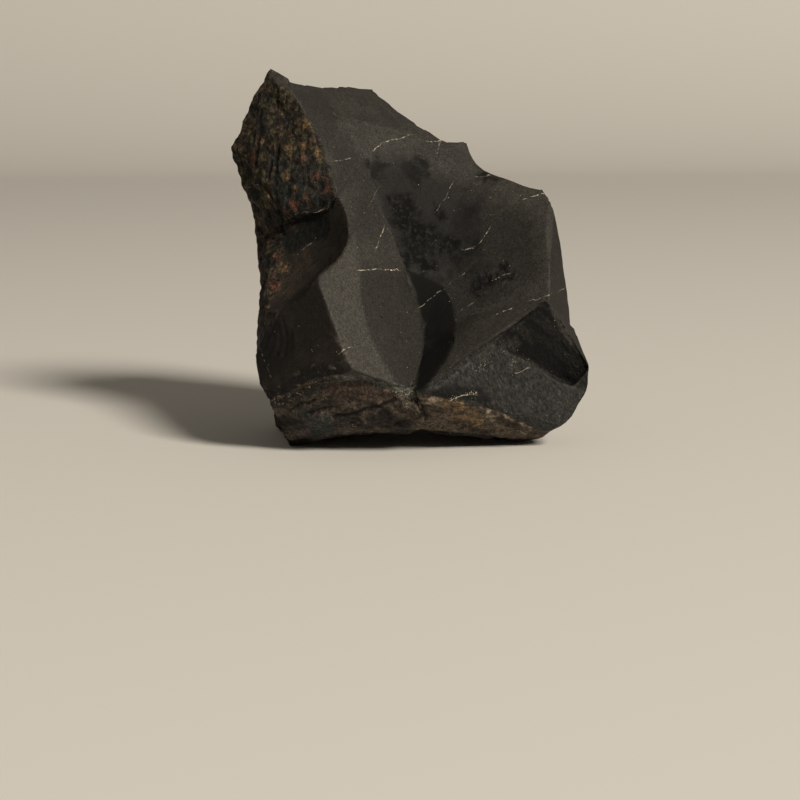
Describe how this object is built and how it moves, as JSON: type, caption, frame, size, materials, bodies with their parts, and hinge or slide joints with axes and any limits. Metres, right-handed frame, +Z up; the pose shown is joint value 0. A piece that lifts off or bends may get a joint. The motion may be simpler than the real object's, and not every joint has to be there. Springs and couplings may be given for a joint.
{
  "type": "shungite stone",
  "caption": "Raw shungite stone: a standing dark grey block with broken conchoidal faces, a side of old rust-brown rind and an arched, layered foot that it rests on.",
  "frame": {"origin": "middle of the bounding box, on the ground that the stone rests on", "axes": "+Z up, the front looks along -Y, +X to the right of someone facing the front"},
  "size_m": [0.1906, 0.1726, 0.198],
  "materials": {
    "shungite": "dull to faintly silky fresh break, rough rust-brown rind"
  },
  "bodies": {
    "root": {"shungite_stone": "shungite"}
  },
  "joints": []
}
